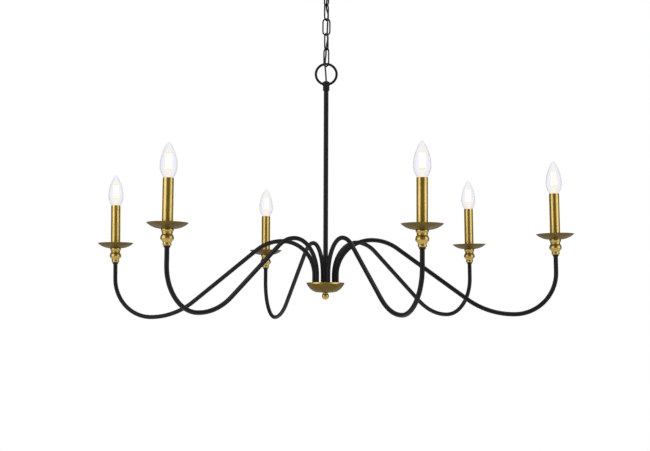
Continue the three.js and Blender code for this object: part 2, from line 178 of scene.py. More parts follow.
def add_noise(nodes, links, scale, detail=4, stretch=(1, 1, 1)):
    """A noise pattern in object space, with features about 1/scale metres across."""
    place = nodes.new("ShaderNodeTexCoord")
    mapping = nodes.new("ShaderNodeMapping")
    mapping.inputs["Scale"].default_value = stretch
    noise = nodes.new("ShaderNodeTexNoise")
    noise.inputs["Scale"].default_value = scale
    noise.inputs["Detail"].default_value = detail
    links.new(place.outputs["Object"], mapping.inputs["Vector"])
    links.new(mapping.outputs["Vector"], noise.inputs["Vector"])
    return noise.outputs["Fac"]


def add_ramp(nodes, links, factor, stops):
    ramp = nodes.new("ShaderNodeValToRGB")
    elements = ramp.color_ramp.elements
    while len(elements) < len(stops):
        elements.new(0.5)
    for element, (position, colour) in zip(elements, stops):
        element.position = position
        element.color = (*colour, 1)
    links.new(factor, ramp.inputs["Fac"])
    return ramp.outputs["Color"]


def add_range(nodes, links, factor, low, high):
    """Stretches the middle of a noise to the values from low to high."""
    span = nodes.new("ShaderNodeMapRange")
    span.inputs["From Min"].default_value = 0.3
    span.inputs["From Max"].default_value = 0.7
    span.inputs["To Min"].default_value = low
    span.inputs["To Max"].default_value = high
    links.new(factor, span.inputs["Value"])
    return span.outputs["Result"]


def add_bump(nodes, links, height, strength, distance):
    bump = nodes.new("ShaderNodeBump")
    bump.inputs["Strength"].default_value = strength
    bump.inputs["Distance"].default_value = distance
    links.new(height, bump.inputs["Height"])
    return bump.outputs["Normal"]


def satin_black():
    """Sprayed satin paint: a fine orange-peel skin with slightly uneven gloss."""
    material, nodes, links, shader = new_material("satin_black")
    tone = add_noise(nodes, links, 30, 4)
    blacks = [(0.3, (0.0055, 0.0055, 0.0062)), (0.7, (0.0075, 0.0075, 0.0083))]
    colour = add_ramp(nodes, links, tone, blacks)
    links.new(colour, shader.inputs["Base Color"])
    links.new(add_range(nodes, links, tone, 0.34, 0.4), shader.inputs["Roughness"])
    peel = add_noise(nodes, links, 700, 2)
    links.new(add_bump(nodes, links, peel, 0.05, 0.00008), shader.inputs["Normal"])
    shader.inputs["Specular IOR Level"].default_value = 0.2
    return material


def antique_brass(name, dark, mid, bright, rough=(0.3, 0.35), coat=1.0, speckle=0.0):
    """Lacquered satin brass with faint ageing, and with a fine grain where it was left unpolished."""
    material, nodes, links, shader = new_material(name)
    shader.inputs["Metallic"].default_value = 1
    cloud = add_noise(nodes, links, 28, 3)
    colour = add_ramp(nodes, links, cloud, [(0.25, dark), (0.5, mid), (0.78, bright)])
    if speckle:
        grain = add_noise(nodes, links, 620, 3)
        spots = add_ramp(nodes, links, grain, [(0.38, (1 - speckle,) * 3), (0.62, (1, 1, 1))])
        mix = nodes.new("ShaderNodeMixRGB")
        mix.blend_type = "MULTIPLY"
        mix.inputs["Fac"].default_value = 1
        links.new(colour, mix.inputs["Color1"])
        links.new(spots, mix.inputs["Color2"])
        colour = mix.outputs["Color"]
    links.new(colour, shader.inputs["Base Color"])
    links.new(add_range(nodes, links, add_noise(nodes, links, 60, 3), *rough), shader.inputs["Roughness"])
    shader.inputs["Coat Weight"].default_value = coat
    shader.inputs["Coat Roughness"].default_value = 0.34
    shader.inputs["Coat IOR"].default_value = 1.8
    brushing = add_noise(nodes, links, 40, 2, stretch=(1, 1, 20))
    links.new(add_bump(nodes, links, brushing, 0.02, 0.0001), shader.inputs["Normal"])
    return material


def plated_steel():
    """Dull zinc or nickel plating, clouded and finely grained."""
    material, nodes, links, shader = new_material("plated_steel")
    shader.inputs["Metallic"].default_value = 1
    cloud = add_noise(nodes, links, 120, 5)
    colour = add_ramp(nodes, links, cloud, [(0.3, (0.32, 0.33, 0.35)), (0.7, (0.5, 0.5, 0.51))])
    links.new(colour, shader.inputs["Base Color"])
    links.new(add_range(nodes, links, cloud, 0.3, 0.45), shader.inputs["Roughness"])
    grain = add_noise(nodes, links, 500, 2)
    links.new(add_bump(nodes, links, grain, 0.08, 0.0001), shader.inputs["Normal"])
    return material


def moulded_dark():
    """Dark moulded plastic of the lamp holders."""
    material, nodes, links, shader = new_material("moulded_dark")
    tone = add_noise(nodes, links, 200, 4)
    colour = add_ramp(nodes, links, tone, [(0.3, (0.028, 0.023, 0.019)), (0.7, (0.045, 0.038, 0.032))])
    links.new(colour, shader.inputs["Base Color"])
    links.new(add_range(nodes, links, tone, 0.5, 0.62), shader.inputs["Roughness"])
    grain = add_noise(nodes, links, 1200, 2)
    links.new(add_bump(nodes, links, grain, 0.1, 0.0001), shader.inputs["Normal"])
    return material


def cable_jacket():
    """Matt flexible jacket of the supply cable."""
    material, nodes, links, shader = new_material("cable_jacket")
    tone = add_noise(nodes, links, 150, 4)
    colour = add_ramp(nodes, links, tone, [(0.3, (0.012, 0.0105, 0.0095)), (0.7, (0.024, 0.02, 0.018))])
    links.new(colour, shader.inputs["Base Color"])
    links.new(add_range(nodes, links, tone, 0.5, 0.65), shader.inputs["Roughness"])
    grain = add_noise(nodes, links, 900, 2)
    links.new(add_bump(nodes, links, grain, 0.15, 0.0001), shader.inputs["Normal"])
    return material


def lamp_glass():
    """Thin clear glass: nearly unseen face on, pale and cool towards its edge."""
    material, nodes, links, shader = new_material("lamp_glass")
    tone = add_noise(nodes, links, 30, 2)
    colour = add_ramp(nodes, links, tone, [(0.3, (0.3, 0.29, 0.46)), (0.7, (0.33, 0.32, 0.5))])
    links.new(colour, shader.inputs["Base Color"])
    shader.inputs["Roughness"].default_value = 0.04
    shader.inputs["IOR"].default_value = 1.5
    facing = nodes.new("ShaderNodeLayerWeight")
    facing.inputs["Blend"].default_value = 0.42
    edge = add_ramp(nodes, links, facing.outputs["Facing"],
                    [(0.0, (0.035,) * 3), (0.45, (0.085,) * 3), (0.92, (0.34,) * 3)])
    links.new(edge, shader.inputs["Alpha"])
    material.surface_render_method = "BLENDED"
    return material


def glowing(name, colour, strength):
    """A lit part of a lamp, slightly uneven."""
    material, nodes, links, shader = new_material(name)
    tone = add_noise(nodes, links, 800, 1)
    dim = tuple(0.85 * part for part in colour)
    light = add_ramp(nodes, links, tone, [(0.35, dim), (0.6, colour)])
    links.new(light, shader.inputs["Emission Color"])
    links.new(light, shader.inputs["Base Color"])
    shader.inputs["Emission Strength"].default_value = strength
    return material


FINISHES = {
    "black": satin_black(),
    "brass": antique_brass("antique_brass", (0.5, 0.32, 0.025), (0.57, 0.38, 0.035), (0.63, 0.43, 0.055)),
    # The dishes' brass is darker than the rest: partly a duller, grained finish, partly painted shade of
    # their undersides.
    "dish_brass_with_painted_shade": antique_brass("dish_brass_with_painted_shade", (0.15, 0.092, 0.009), (0.2, 0.124, 0.013),
                                (0.25, 0.163, 0.024), rough=(0.34, 0.42), coat=0.15, speckle=0.45),
    "steel": plated_steel(),
    "holder": moulded_dark(),
    "cable": cable_jacket(),
    "glass": lamp_glass(),
    "filament": glowing("filament", (1.0, 0.93, 0.72), 2.2),
    "filament_end": glowing("filament_end", (1.0, 0.45, 0.03), 0.95),
    "stem_glow": glowing("stem_glow", (1.0, 0.62, 0.42), 0.6),
}


# ---- Making pieces -----------------------------------------------------------------------------

MERGE_DISTANCE = 1e-6  # metres
SHARP_ANGLE = 35  # degrees


def piece(name, bm, finish, body, replaces=(), place=Matrix()):
    """A finished piece from a bmesh in metres, moved to its place in the mesh and riding on a body."""
    bmesh.ops.remove_doubles(bm, verts=bm.verts, dist=MERGE_DISTANCE)
    bmesh.ops.recalc_face_normals(bm, faces=bm.faces)
    bmesh.ops.transform(bm, matrix=place, verts=bm.verts)
    mesh = bpy.data.meshes.new(name)
    bm.to_mesh(mesh)
    bm.free()
    mesh.shade_smooth()
    mesh.set_sharp_from_angle(angle=math.radians(SHARP_ANGLE))
    mesh.materials.append(FINISHES[finish])
    made = bpy.data.objects.new(name, mesh)
    bpy.context.collection.objects.link(made)
    if body:
        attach(made, body)
    if replaces:
        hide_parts(*replaces)
    return made


def rounded(outline, closed):
    """An outline of (radius, height) points, where a third number rounds that corner."""
    points = []
    count = len(outline)
    for i, point in enumerate(outline):
        here = Vector(point[:2])
        fillet = point[2] if len(point) > 2 else 0
        if not fillet or (not closed and i in (0, count - 1)):
            points.append(here)
            continue
        before = Vector(outline[i - 1][:2]) - here
        after = Vector(outline[(i + 1) % count][:2]) - here
        half = before.angle(after) / 2
        reach = min(fillet / math.tan(half), before.length * 0.49, after.length * 0.49)
        start, end = here + before.normalized() * reach, here + after.normalized() * reach
        for step in range(5):
            t = step / 4
            points.append(start.lerp(here, t).lerp(here.lerp(end, t), t))
    return points


def lathe(outline, segments=48, closed=False):
    """A bmesh turned about Z from an outline in millimetres."""
    bm = bmesh.new()
    points = rounded(outline, closed)
    verts = [bm.verts.new((p.x * MM, 0, p.y * MM)) for p in points]
    edges = [bm.edges.new(pair) for pair in zip(verts, verts[1:])]
    if closed:
        edges.append(bm.edges.new((verts[-1], verts[0])))
    bmesh.ops.spin(bm, geom=verts + edges, cent=(0, 0, 0), axis=(0, 0, 1), angle=2 * math.pi,
                   steps=segments, use_merge=True, use_duplicate=False)
    return bm


def smooth_outline(knots, steps=4):
    """More points on a smooth curve through (radius, height) knots."""
    points = [Vector(knot) for knot in knots]
    points = [points[0] * 2 - points[1]] + points + [points[-1] * 2 - points[-2]]
    curve = []
    for a, b, c, d in zip(points, points[1:], points[2:], points[3:]):
        for step in range(steps):
            t = step / steps
            curve.append(0.5 * (2 * b + (c - a) * t + (2 * a - 5 * b + 4 * c - d) * t ** 2
                                + (3 * b - a - 3 * c + d) * t ** 3))
    curve.append(points[-2])
    return [(max(0.0, p.x), p.y) for p in curve]


def bent_bar(radius, legs, x, z, sides=24, degrees_per_step=3.0, open_ends=True):
    """A round bar bent as its legs say, starting upwards at x, z in the XZ plane, in millimetres."""
    bm = bmesh.new()
    bmesh.ops.create_circle(bm, segments=sides, radius=radius * MM)
    bmesh.ops.translate(bm, verts=bm.verts, vec=(x * MM, 0, z * MM))
    edges = list(bm.edges)
    first = list(edges)
    for leg, (at_x, at_z, heading) in zip(legs, bend_stations(legs, x, z)):
        if leg[0] == "run":
            made = bmesh.ops.extrude_edge_only(bm, edges=edges)["geom"]
            verts = [item for item in made if isinstance(item, bmesh.types.BMVert)]
            angle = math.radians(heading)
            way = Vector((math.cos(angle), 0, math.sin(angle)))
            bmesh.ops.translate(bm, verts=verts, vec=way * leg[1] * MM)
        else:
            centre_x, centre_z = bend_centre(at_x, at_z, heading, leg)
            ring = list({vert for edge in edges for vert in edge.verts}) + edges
            made = bmesh.ops.spin(bm, geom=ring, cent=(centre_x * MM, 0, centre_z * MM),
                                  axis=(0, -math.copysign(1, leg[2]), 0), angle=math.radians(abs(leg[2])),
                                  steps=max(4, round(abs(leg[2]) / degrees_per_step)),
                                  use_duplicate=False)["geom_last"]
        edges = [item for item in made if isinstance(item, bmesh.types.BMEdge)]
    if open_ends:
        bmesh.ops.edgeloop_fill(bm, edges=first)
        bmesh.ops.edgeloop_fill(bm, edges=edges)
    return bm


def torus(radius, wire, segments=96, sides=24):
    """A ring of round wire standing in the XZ plane."""
    bm = bmesh.new()
    bmesh.ops.create_circle(bm, segments=sides, radius=wire / 2 * MM)
    bmesh.ops.translate(bm, verts=bm.verts, vec=(radius * MM, 0, 0))
    bmesh.ops.spin(bm, geom=list(bm.verts) + list(bm.edges), cent=(0, 0, 0), axis=(0, 1, 0),
                   angle=2 * math.pi, steps=segments, use_merge=True, use_duplicate=False)
    return bm


def at(x=0.0, y=0.0, z=0.0, turn=0.0):
    """A place in metres, turned about Z in degrees."""
    return Matrix.Translation((x, y, z)) @ Matrix.Rotation(math.radians(turn), 4, "Z")


# ---- Supply cable ------------------------------------------------------------------------------

CEILING_TO_RIM = -RIM_Z / MM
LOOP_FOOT = CEILING_TO_RIM - 40
# x, y and height above the rim, from the canopy through the links and the ring into the stem
CABLE_ROUTE = [
    (0, 0, CEILING_TO_RIM - 8), (0, 0, LOOP_FOOT + 8), (0.4, -0.1, LOOP_FOOT - 2), (6.5, -1.1, 677.5),
    (1.5, 1.2, 660.8), (1, 5.9, 644.8), (1, 6.6, 628.1), (-0.2, 7.1, 612.1), (0.4, 4.3, 603.1),
    (3.4, -1.2, 591.9), (3.1, -4.9, 579.4), (2.2, -4.6, 562.7), (2, -4.9, 546.7), (2.9, -2.6, 536),
    (0.8, 3.2, 525), (-0.8, 7, 514), (-0.7, 3.8, 503.5), (-2.1, -2.6, 490.8), (-2.6, -5.5, 479.3),
    (-2, -3.5, 469.3), (-1, -0.8, 458.3), (0, 0, 441.65), (0, 0, 408.7),
]
HANG_ORDER = ["ceiling", "link_top", "link_5", "link_4", "link_3", "link_2", "link_end", "fixture"]


def cable_line(route, steps):
    """Points on a centripetal curve through the route, in metres in the part's frame."""
    knots = [Vector((x * MM, y * MM, RIM_Z + z * MM)) for x, y, z in route]
    knots = [knots[0] * 2 - knots[1]] + knots + [knots[-1] * 2 - knots[-2]]
    line = []
    for a, b, c, d in zip(knots, knots[1:], knots[2:], knots[3:]):
        t0, t1 = 0.0, math.sqrt((b - a).length)
        t2 = t1 + math.sqrt((c - b).length)
        t3 = t2 + math.sqrt((d - c).length)
        for step in range(steps):
            t = t1 + (t2 - t1) * step / steps
            ab = a.lerp(b, (t - t0) / (t1 - t0))
            bc = b.lerp(c, (t - t1) / (t2 - t1))
            cd = c.lerp(d, (t - t2) / (t3 - t2))
            abc = ab.lerp(bc, (t - t0) / (t2 - t0))
            bcd = bc.lerp(cd, (t - t1) / (t3 - t1))
            line.append(abc.lerp(bcd, (t - t1) / (t2 - t1)))
    line.append(knots[-2])
    return line


def tube_along(line, ways, radius, cap_start, cap_end, sides=16):
    """A round tube along points in metres; ways gives the direction at each of them."""
    bm = bmesh.new()
    bmesh.ops.create_circle(bm, segments=sides, radius=radius)
    edges = list(bm.edges)
    first = list(edges)
    place = Matrix()
    for i, point in enumerate(line):
        way = ways[i]
        spin = Vector((0, 0, -1)).rotation_difference(way).to_matrix().to_4x4()
        target = Matrix.Translation(point) @ spin
        if i:
            made = bmesh.ops.extrude_edge_only(bm, edges=edges)["geom"]
            verts = [item for item in made if isinstance(item, bmesh.types.BMVert)]
            edges = [item for item in made if isinstance(item, bmesh.types.BMEdge)]
        else:
            verts = list(bm.verts)
        bmesh.ops.transform(bm, matrix=target @ place.inverted(), verts=verts)
        place = target
    if cap_start:
        bmesh.ops.edgeloop_fill(bm, edges=first)
    if cap_end:
        bmesh.ops.edgeloop_fill(bm, edges=edges)
    return bm


def add_cable():
    """The supply cable in seven curved lengths, one for each two bodies that it hangs between."""
    line = cable_line(CABLE_ROUTE, 6)
    ways = [(line[min(i + 1, len(line) - 1)] - line[max(i - 1, 0)]).normalized() for i in range(len(line))]
    pivots = [JOINTS[f"{name}_swing"]["pos_m"][2] for name in HANG_ORDER[1:]]
    cuts = [line[0].z + 1] + [(high + low) / 2 for high, low in zip(pivots, pivots[1:])] + [-9]
    first = 0
    for i, (upper, lower) in enumerate(zip(HANG_ORDER, HANG_ORDER[1:])):
        last = max(k for k, point in enumerate(line) if point.z >= cuts[i + 1])
        span = slice(first, last + 1)
        ends = (i == 0, i == len(pivots) - 1)
        bm = tube_along(line[span], ways[span], CABLE_RADIUS * MM, *ends)
        made = piece(f"supply_cable_{i + 1}", bm, "cable", None, ["supply_cable"])
        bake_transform(made)
        first = last


add_cable()


# ---- Ceiling fittings and chain ----------------------------------------------------------------

CANOPY = [(13.6, 0), (23.9, 0, 3), (42, 8, 12), (54, 18, 8), (57.5, 25, 2), (63.4, 26, 1.2),
          (63.4, 30, 0.4), (62.5, 30), (62.5, 27), (56.5, 26), (53, 19, 8), (41.5, 9.2, 12),
          (23.7, 1, 3), (13.6, 1)]
COLLAR_BORE = 13.75
COLLAR_RADIUS = 19
COLLAR_COLUMNS = 64  # segments round the collar ring; every other one is a groove of its knurl
KNURL_DEPTH = 0.35


def add_canopy():
    piece("canopy_shell", lathe(CANOPY, 96, closed=True), "black", "canopy", ["canopy"],
          at(z=low_z("canopy")))
    top = (high_z("collar_ring") - low_z("collar_ring")) / MM
    collar = [(COLLAR_BORE, 0, 0.3), (16.5, 0, 0.6), (COLLAR_RADIUS, 2, 0.8), (COLLAR_RADIUS, top - 1.2, 0.6),
              (18, top, 0.3), (COLLAR_BORE, top)]
    bm = lathe(collar, COLLAR_COLUMNS, closed=True)
    knurl(bm, (COLLAR_RADIUS - 0.4) * MM, KNURL_DEPTH * MM)
    piece("collar_nut", bm, "black", "collar", ["collar_ring"], at(z=low_z("collar_ring")))


def knurl(bm, from_radius, depth):
    """Draws in every other column of a turned piece's outer wall, as a coarse knurl."""
    for vert in bm.verts:
        radius = vert.co.xy.length
        if radius < from_radius:
            continue
        column = round(math.atan2(vert.co.y, vert.co.x) * COLLAR_COLUMNS / (2 * math.pi))
        if column % 2:
            vert.co.xy *= (radius - depth) / radius


BAIL_RADIUS = 10.75
BAIL_WIRE = 4.5
LOOP_BODY = [(3.4, 0, 0.4), (8.3, 0, 0.8), (13.2, 3, 1.2), (13.2, 21, 0.5), (5.3, 21), (5.3, 8), (3.4, 8)]
LOOP_BODY_HEIGHT = 21
THREAD_DEPTH = 0.5


def add_canopy_loop():
    top, bottom = high_z("canopy_loop"), low_z("canopy_loop")
    bm = lathe(LOOP_BODY, 64, closed=True)
    piece("loop_body", bm, "black", "ceiling", ["canopy_loop"], at(z=top - LOOP_BODY_HEIGHT * MM))
    centre = bottom + (BAIL_RADIUS + BAIL_WIRE / 2) * MM
    piece("loop_bail", torus(BAIL_RADIUS, BAIL_WIRE, 72, 20), "black", "ceiling", ["canopy_loop"],
          at(z=centre, turn=LINK_TURNS["link_top"] + 90))
    length = (high_z("nipple") - low_z("nipple")) / MM
    piece("ceiling_nipple", threaded(4.75, 3.6, length, 1.4), "steel", "ceiling", ["nipple"],
          at(z=low_z("nipple")))


def threaded(outside, inside, length, pitch):
    """A threaded tube: rings of crests and roots between plain ends."""
    root = outside - THREAD_DEPTH
    outline = [(inside, 0), (root, 0)]
    for i in range(int(length / pitch) - 1):
        height = pitch * (i + 0.5)
        outline += [(root, height), (outside, height + pitch * 0.35), (outside, height + pitch * 0.5)]
    outline += [(root, length - 0.2), (root, length), (inside, length)]
    return lathe(outline, 32, closed=True)


def add_chain():
    bend = (LINK_WIDTH - LINK_WIRE) / 2
    for name, turn in LINK_TURNS.items():
        height = (high_z(name) - low_z(name)) / MM
        side = height - LINK_WIRE - 2 * bend
        legs = [("run", side * 0.48), ("run", side * 0.04), ("run", side * 0.48), ("bend", bend, 180),
                ("run", side), ("bend", bend, 180)]
        bm = bent_bar(LINK_WIRE / 2, legs, bend, -side / 2, 20, 9, open_ends=False)
        mark_seam(bm, bend * MM, side * 0.021 * MM)
        piece(f"chain_{name}", bm, "black", name, [name], at(z=middle(name).z, turn=turn))


def mark_seam(bm, leg_x, half_gap):
    """Cuts the butt joint of a bent link: a narrow groove round one leg."""
    near = 0.0002
    ring = {vert for vert in bm.verts if vert.co.x > leg_x * 0.5 and abs(abs(vert.co.z) - half_gap) < near}
    edges = [edge for edge in bm.edges if all(vert in ring for vert in edge.verts)
             and abs(edge.verts[0].co.z - edge.verts[1].co.z) > half_gap]
    made = bmesh.ops.subdivide_edges(bm, edges=edges, cuts=1)["geom_inner"]
    narrow = 0.86
    for vert in (item for item in made if isinstance(item, bmesh.types.BMVert)):
        vert.co.x = leg_x + (vert.co.x - leg_x) * narrow
        vert.co.y *= narrow


add_canopy()
add_canopy_loop()
add_chain()


# ---- Stem and hanging ring ---------------------------------------------------------------------

RING_RADIUS = 22.65
RING_WIRE = 5.5


# Both stand on the foot of the ring's collar
RING_BOSS = [(0, 7.6), (6.4, 7.8), (6.7, 9.6, 0.4), (8.3, 12.8, 1.6), (8.8, 15.2, 1.4), (8.2, 17.6, 1.4),
             (6.4, 19.9, 1.2), (3.6, 21.2, 0.8), (2.6, 21.4, 0.2), (2.5, 19), (0, 19)]
RING_COLLAR = [(5.45, 0, 0.2), (6.8, 0, 0.5), (7.4, 1.2, 0.5), (7.4, 3.4, 0.3), (6.9, 3.9, 0.3),
               (6.9, 4.9, 0.3), (7.4, 5.4, 0.3), (7.4, 8.3, 0.5), (6.8, 9, 0.4), (5.45, 9)]
STEM_RADIUS = 5.2
STEM_BORE = 4


def add_stem():
    low, high = low_z("stem_loop"), high_z("stem_loop")
    ring_centre = high - (RING_RADIUS + RING_WIRE / 2) * MM
    ring = torus(RING_RADIUS, RING_WIRE)
    piece("hanging_ring", ring, "black", "fixture", ["stem_loop"], at(z=ring_centre))
    piece("ring_boss", lathe(RING_BOSS, 64), "black", "fixture", ["stem_loop"], at(z=low))
    collar = lathe(RING_COLLAR, 64, closed=True)
    piece("ring_collar", collar, "black", "fixture", ["stem_loop"], at(z=low))
    length = (high_z("stem") - low_z("stem")) / MM
    wall = [(STEM_BORE, 0), (STEM_RADIUS, 0), (STEM_RADIUS, length), (STEM_BORE, length)]
    bm = lathe(wall, 48, closed=True)
    long_edges = [edge for edge in bm.edges if abs(edge.verts[0].co.z - edge.verts[1].co.z) > 0.1]
    bmesh.ops.subdivide_edges(bm, edges=long_edges, cuts=12)
    piece("stem_tube", bm, "black", "fixture", ["stem"], at(z=low_z("stem")))


# ---- Hub ---------------------------------------------------------------------------------------

HUB_PLATE_RADIUS = 32.9
# The hub dish's underside from its middle out, then its upper side back in, above its foot
HUB_DISH_UNDER = [(6.4, 0), (15.8, 0.35), (23.4, 1.8), (30.9, 6.2), (35.2, 10.7), (38.4, 15.1), (40.3, 17.8)]
HUB_DISH_OVER = [(39.3, 18), (37.5, 15.6), (34.4, 11.5), (30.3, 7.1), (23.1, 2.8), (15.7, 1.35), (6.4, 1)]
HUB_DISH_HOLE = 3.3
HUB_DISH_LIP = [(40.35, 17.9), (41, 17.9, 0.3), (41, 21.3, 0.4), (39.35, 21.3, 0.3), (39.35, 20.5),
                (40.35, 20.5)]
FINIAL_RADIUS = 7.7
FINIAL_NECK = 6.2
ROOT_WASHER = [(4.75, 0), (7.2, 0, 0.2), (7.2, 0.8, 0.3), (4.75, 0.8)]


def add_hub():
    thick = (high_z("hub_plate") - low_z("hub_plate")) / MM
    plate = [(0, 0), (HUB_PLATE_RADIUS, 0, 0.5), (HUB_PLATE_RADIUS, thick, 0.6), (0, thick)]
    piece("hub_disc", lathe(plate, 96), "steel", "fixture", ["hub_plate"], at(z=low_z("hub_plate")))
    dish = [(HUB_DISH_HOLE, 0), *smooth_outline(HUB_DISH_UNDER), (40.3, 20.4), (39.5, 20.4),
            *smooth_outline(HUB_DISH_OVER), (HUB_DISH_HOLE, 1)]
    place = at(z=low_z("hub_dish"))
    piece("hub_cup", lathe(dish, 128, closed=True), "dish_brass_with_painted_shade", "dish", ["hub_dish"], place)
    piece("hub_cup_lip", lathe(HUB_DISH_LIP, 128, closed=True), "brass", "dish", ["hub_dish"], place)
    length = (high_z("centre_rod") - low_z("centre_rod")) / MM
    piece("centre_tube", threaded(2.95, 2.2, length, 0.9), "steel", "fixture", ["centre_rod"],
          at(z=low_z("centre_rod")))
    add_finial()
    for number in range(1, ARM_COUNT + 1):
        root = Vector(JOINTS[f"arm_{number}_swivel"]["pos_m"])
        piece(f"root_washer_{number}", lathe(ROOT_WASHER, 48, closed=True), "steel", "fixture",
              place=at(root.x, root.y, high_z("hub_plate")))


def add_finial():
    """A ball on a short neck, bored for the rod."""
    top = (high_z("finial") - low_z("finial")) / MM
    angles = [math.radians(degrees) for degrees in range(0, 126, 5)]
    ball = [(FINIAL_RADIUS * math.sin(a), FINIAL_RADIUS * (1 - math.cos(a))) for a in angles]
    neck = [(5.4, top - 2.4, 0.3), (FINIAL_NECK, top - 1.8, 0.4), (FINIAL_NECK, top, 0.3),
            (HUB_DISH_HOLE, top), (HUB_DISH_HOLE, top - 7), (0, top - 7)]
    piece("finial_ball", lathe(ball + neck, 64), "brass", "finial", ["finial"], at(z=low_z("finial")))


# ---- Arms and candles --------------------------------------------------------------------------

# All heights here stand on the arm's shoulder, where the tube enters the cup
CUP = [(5.1, 0.35, 0.3), (6.9, 0.35, 0.5), (8.0, 1.1, 0.8), (8.6, 2.6, 1.2), (8.5, 4.8, 1),
       (7.9, 6.4, 0.7), (8.7, 7.6, 0.7), (9.6, 9.4, 0.8), (11.7, 11.5, 0.6), (12.4, 12.4, 0.4),
       (13, 14.2, 1), (13, 17, 1), (12.4, 19, 1), (11.5, 21, 0.8), (10.3, 22.3, 0.8), (10, 23.4, 0.6),
       (10.4, 25.4, 0.8), (10.7, 27.2, 0.6), (11.9, 29, 0.6), (12.3, 30.2, 0.4), (12.3, 32.2, 0.5),
       (10.6, 32.5, 0.3), (7.4, 32.5), (7.4, 17.7), (5.1, 17.7)]
FERRULE = [(4.2, -3.6), (5.0, -3.5, 0.2), (5.3, -3.0, 0.3), (6.9, -1.0, 0.8), (7.3, -0.2, 0.3), (4.2, -0.1)]
DRIP_DISH_FLOOR = 32.8
DRIP_DISH_SEAT = 11.6  # radius of the flat middle
DRIP_DISH_REACH = 28.3  # from the seat to the edge
DRIP_DISH_DEPTH = 11.2
DRIP_DISH_WALL = 0.9
DRIP_DISH_HOLE = 3.6
SLEEVE_FOOT = 34.1
SLEEVE_TOP = 129.5
SLEEVE_RADIUS = 10.65
SLEEVE_BORE = 9.85
SLEEVE = [(SLEEVE_BORE, SLEEVE_FOOT), (SLEEVE_RADIUS, SLEEVE_FOOT, 0.2), (SLEEVE_RADIUS, SLEEVE_TOP, 0.25),
          (SLEEVE_BORE, SLEEVE_TOP, 0.25)]
HOLDER_STEM = 3.1
HOLDER = [(0, 21.6), (HOLDER_STEM, 21.6, 0.3), (HOLDER_STEM, SLEEVE_FOOT), (7, SLEEVE_FOOT, 0.3),
          (7, 36.4, 0.3), (HOLDER_STEM, 36.4), (HOLDER_STEM, 99.6), (8.1, 100, 0.6), (8.1, 122, 0.4),
          (6.5, 122, 0.3), (6.5, 101.7), (0, 101.7)]
CAP_FOOT = 102.0
CAP_ROOT = 5.1
CAP_CREST = 5.9
CAP_PITCH = 2.6
# Heights of the lamp's glass and its insides stand on BULB_FOOT
BULB_FOOT = 123.2
GLASS = [(5.9, 0), (6.6, 2.6), (8.3, 5.2), (10.2, 7.9), (12.6, 11.6), (14.9, 16.4), (16.5, 22),
         (17.1, 28), (16.9, 34), (16.0, 41), (14.3, 48.4), (12.1, 55.4), (9.4, 62), (6.6, 67.6),
         (4.2, 71.6), (2.2, 74.4), (0.9, 75.5), (0, 75.7)]
GLASS_WALL = 0.7
LAMP_STEM = [(4.4, 1), (3.8, 4), (2, 8), (1.2, 12), (1.0, 17), (1.7, 19.3), (1.2, 20.4), (0, 20.6)]
FILAMENT_TURNS = (38, 128, 218, 308)
FILAMENT_CIRCLE = 4.6
FILAMENT_RADIUS = 0.8
SUPPORT_WIRE = 0.25
CENTRE_WIRE = 0.3


def drip_dish_outline():
    """A shallow pressed dish with a flat seat and a thin edge."""
    seat, reach, depth, wall = DRIP_DISH_SEAT, DRIP_DISH_REACH, DRIP_DISH_DEPTH, DRIP_DISH_WALL
    curve = (reach ** 2 + depth ** 2) / (2 * depth)
    radii = [seat + reach * step / 14 for step in range(1, 15)]
    under = [(radius, curve - math.sqrt(curve ** 2 - (radius - seat) ** 2)) for radius in radii]
    over = [(radius - wall * (0.15 + 0.5 * up / depth), wall + up * (depth - wall * 0.55) / depth)
            for radius, up in reversed(under)]
    outline = [(DRIP_DISH_HOLE, 0), (seat, 0), *under, *over, (seat, wall), (DRIP_DISH_HOLE, wall)]
    return [(radius, DRIP_DISH_FLOOR + up) for radius, up in outline]


def screw_cap_outline():
    """A lamp cap: contact, insulator, five thread ridges and the collar that grips the glass."""
    cap = [(0, CAP_FOOT), (2.1, CAP_FOOT, 0.3), (2.6, CAP_FOOT + 0.9), (4.6, CAP_FOOT + 2.6)]
    for ridge in range(5):
        height = CAP_FOOT + 3.4 + CAP_PITCH * ridge
        cap += [(CAP_ROOT, height, 0.4), (CAP_CREST, height + CAP_PITCH / 2, 0.5)]
    return cap + [(CAP_ROOT, 118.6, 0.3), (CAP_CREST, 119.6, 0.3), (CAP_CREST, 122.7, 0.2), (4.5, 122.8),
                  (4.5, 124.6), (0, 124.6)]


def glass_outline():
    """The lamp's thin glass, outside and inside."""
    skin = smooth_outline(GLASS, 3)
    inside = [(max(0, r - GLASS_WALL), h - (GLASS_WALL if r == 0 else 0)) for r, h in reversed(skin)]
    return [*skin, *inside]


def add_rod(bm, start, end, radius, sides):
    """Adds a straight round rod between two points in millimetres."""
    way = end - start
    spin = Vector((0, 0, 1)).rotation_difference(way).to_matrix().to_4x4()
    place = Matrix.Translation((start + end) / 2 * MM) @ spin
    bmesh.ops.create_cone(bm, segments=sides, radius1=radius * MM, radius2=radius * MM,
                          depth=way.length * MM, cap_ends=True, matrix=place)


